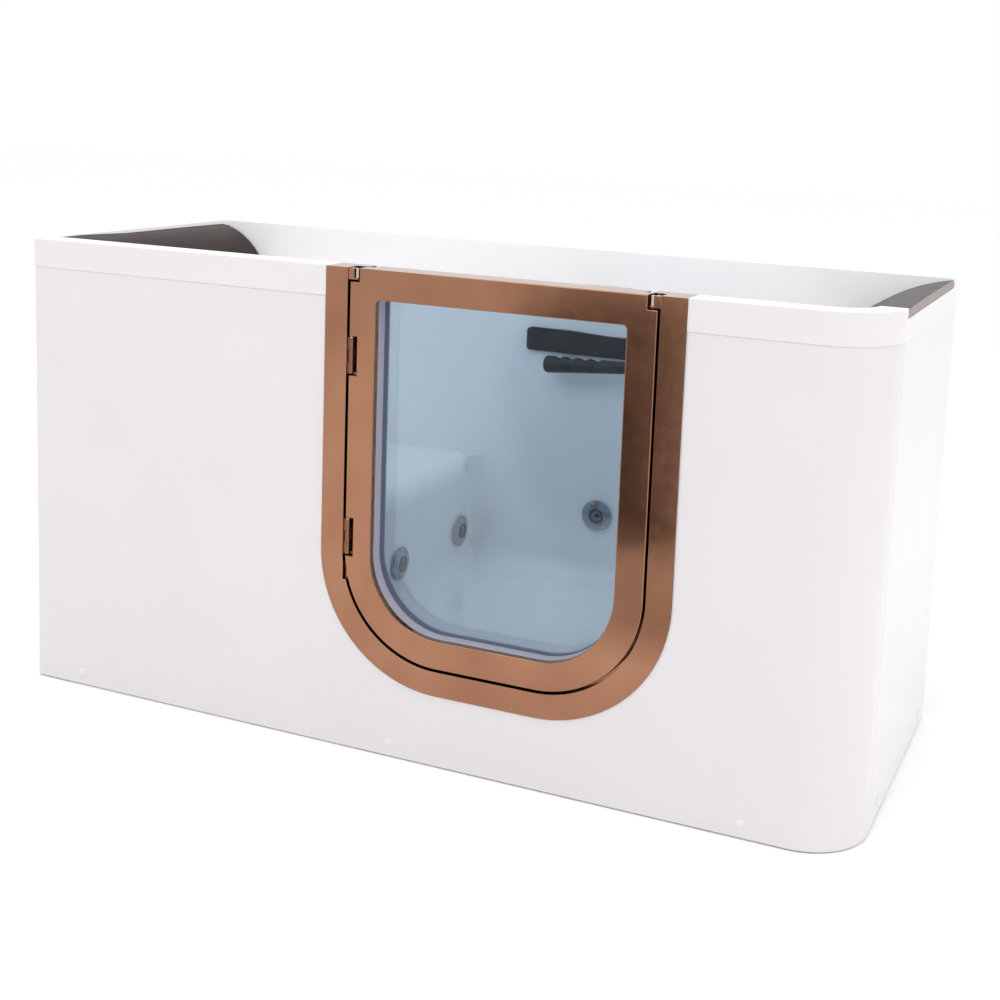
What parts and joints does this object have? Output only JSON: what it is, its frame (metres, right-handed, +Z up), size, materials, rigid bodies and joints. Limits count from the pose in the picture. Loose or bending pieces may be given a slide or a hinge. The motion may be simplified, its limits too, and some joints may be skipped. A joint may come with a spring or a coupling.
{
  "type": "walk-in jetted bathtub",
  "caption": "Walk-in jetted bathtub with a hinged glass door in a copper-coloured frame, raised seat, footwell, padded ends and grab handle.",
  "frame": {"origin": "bottom centre of the tub's bounding box, on the floor", "axes": "+X along the tub to the right end, +Y towards the wall behind, -Y out through the door, +Z up"},
  "size_m": [1.7, 0.7, 0.91],
  "materials": {
    "white_acrylic": "gloss",
    "white_plastic": "gloss",
    "bare_steel": "satin",
    "frame_steel": "satin",
    "foot_rubber": "matt",
    "copper_finish": "polished copper-coloured metal",
    "bronze_hinge": "satin",
    "pale_core": "satin",
    "seal_rubber": "matt",
    "clear_glass": "clear",
    "pad_foam": "soft satin skin",
    "black_plastic": "semi-gloss",
    "pipe_plastic": "satin",
    "chrome_trim": "polished",
    "air_hose_plastic": "satin",
    "pump_plastic": "satin",
    "motor_paint": "satin"
  },
  "bodies": {
    "tub": {"tub_shell": "white_acrylic", "front_skirt": "white_acrylic", "right_side_panel": "white_acrylic", "left_side_panel": "white_acrylic", "corner_cover_strip": "white_acrylic", "panel_screws": "bare_steel", "screw_caps": "white_plastic", "base_frame": "frame_steel", "levelling_feet": "foot_rubber", "foot_lock_nuts": "bare_steel", "door_surround": "copper_finish", "door_gasket": "seal_rubber", "corner_stop_blocks": "copper_finish", "corner_stop_pins": "bare_steel", "latch_keeper": "bare_steel", "upper_hinge_jamb_leaf": "bronze_hinge", "upper_hinge_pin": "bare_steel", "lower_hinge_jamb_leaf": "bronze_hinge", "lower_hinge_pin": "bare_steel", "left_end_pad": "pad_foam", "right_end_pad": "pad_foam", "grab_handle_plate": "black_plastic", "grab_handle_grip": "black_plastic", "grab_handle_screws": "bare_steel", "jet_body_1": "pipe_plastic", "jet_body_2": "pipe_plastic", "jet_body_3": "pipe_plastic", "suction_body": "pipe_plastic", "suction_cover": "chrome_trim", "drain_body": "chrome_trim", "overflow_body": "chrome_trim", "waste_pipe": "pipe_plastic", "air_control_collar": "chrome_trim", "button_collar": "chrome_trim", "pump_casing": "pump_plastic", "pump_motor": "motor_paint", "pump_base": "frame_steel", "suction_pipe": "pipe_plastic", "water_pipes": "pipe_plastic", "air_pipes": "air_hose_plastic"},
    "door": {"door_frame": "copper_finish", "door_core": "pale_core", "door_glass": "clear_glass", "glazing_seal": "seal_rubber", "glass_retainer": "pale_core", "upper_hinge_door_leaf": "bronze_hinge", "lower_hinge_door_leaf": "bronze_hinge"},
    "latch_lever": {"latch_handle": "copper_finish"},
    "latch_bolt": {"latch_bolt": "bare_steel"},
    "overflow_knob": {"overflow_knob": "chrome_trim"},
    "drain_plug": {"drain_plug": "chrome_trim"},
    "air_control_knob": {"air_control_knob": "chrome_trim"},
    "push_button": {"push_button": "chrome_trim"},
    "pump_rotor": {"pump_rotor": "bare_steel"},
    "jet_bezel_1": {"jet_bezel_1": "chrome_trim"},
    "jet_nozzle_1": {"jet_nozzle_1": "chrome_trim"},
    "jet_bezel_2": {"jet_bezel_2": "chrome_trim"},
    "jet_nozzle_2": {"jet_nozzle_2": "chrome_trim"},
    "jet_bezel_3": {"jet_bezel_3": "chrome_trim"},
    "jet_nozzle_3": {"jet_nozzle_3": "chrome_trim"}
  },
  "joints": [
    {"name": "door_swing", "type": "hinge", "parent": "tub", "child": "door", "pos_m": [-0.1175, -0.345, 0], "axis": [0, 0, -1], "range_deg": [0, 90]},
    {"name": "latch_turn", "type": "hinge", "parent": "door", "child": "latch_lever", "pos_m": [0.385, -0.28, 0.886], "axis": [0, -1, 0], "range_deg": [0, 90]},
    {"name": "latch_bolt_slide", "type": "slide", "parent": "door", "child": "latch_bolt", "axis": [1, 0, 0], "range_m": [0, 0.02]},
    {"name": "overflow_turn", "type": "hinge", "parent": "tub", "child": "overflow_knob", "pos_m": [0.36233, 0.29, 0.78], "axis": [0, -1, 0], "range_deg": [0, 90]},
    {"name": "drain_plug_lift", "type": "slide", "parent": "tub", "child": "drain_plug", "axis": [0, 0, 1], "range_m": [0, 0.01]},
    {"name": "air_control_turn", "type": "hinge", "parent": "tub", "child": "air_control_knob", "pos_m": [0.23533, 0.29, 0.788], "axis": [0, -1, 0], "range_deg": [0, 270]},
    {"name": "pump_button_press", "type": "slide", "parent": "tub", "child": "push_button", "axis": [0, 1, 0], "range_m": [0, 0.003], "stiffness_N_per_m": 600},
    {"name": "pump_rotor_spin", "type": "hinge", "parent": "tub", "child": "pump_rotor", "pos_m": [0.6, 0, 0.205], "axis": [1, 0, 0], "continuous": true},
    {"name": "jet_bezel_1_turn", "type": "hinge", "parent": "tub", "child": "jet_bezel_1", "pos_m": [-0.165, -0.052, 0.27], "axis": [1, 0, 0], "range_deg": [0, 90]},
    {"name": "jet_nozzle_1_tilt", "type": "hinge", "parent": "jet_bezel_1", "child": "jet_nozzle_1", "pos_m": [-0.164, -0.052, 0.27], "axis": [0, 1, 0], "range_deg": [-12, 12]},
    {"name": "jet_bezel_2_turn", "type": "hinge", "parent": "tub", "child": "jet_bezel_2", "pos_m": [-0.165, 0.224, 0.27], "axis": [1, 0, 0], "range_deg": [0, 90]},
    {"name": "jet_nozzle_2_tilt", "type": "hinge", "parent": "jet_bezel_2", "child": "jet_nozzle_2", "pos_m": [-0.164, 0.224, 0.27], "axis": [0, 1, 0], "range_deg": [-12, 12]},
    {"name": "jet_bezel_3_turn", "type": "hinge", "parent": "tub", "child": "jet_bezel_3", "pos_m": [0.137, 0.29, 0.333], "axis": [0, -1, 0], "range_deg": [0, 90]},
    {"name": "jet_nozzle_3_tilt", "type": "hinge", "parent": "jet_bezel_3", "child": "jet_nozzle_3", "pos_m": [0.137, 0.289, 0.333], "axis": [0, 0, 1], "range_deg": [-12, 12]}
  ],
  "couplings": [
    {"joint": "latch_bolt_slide", "follows": "latch_turn", "m_per_rad": 0.012732},
    {"joint": "overflow_turn", "follows": "drain_plug_lift", "rad_per_m": 157.08}
  ]
}
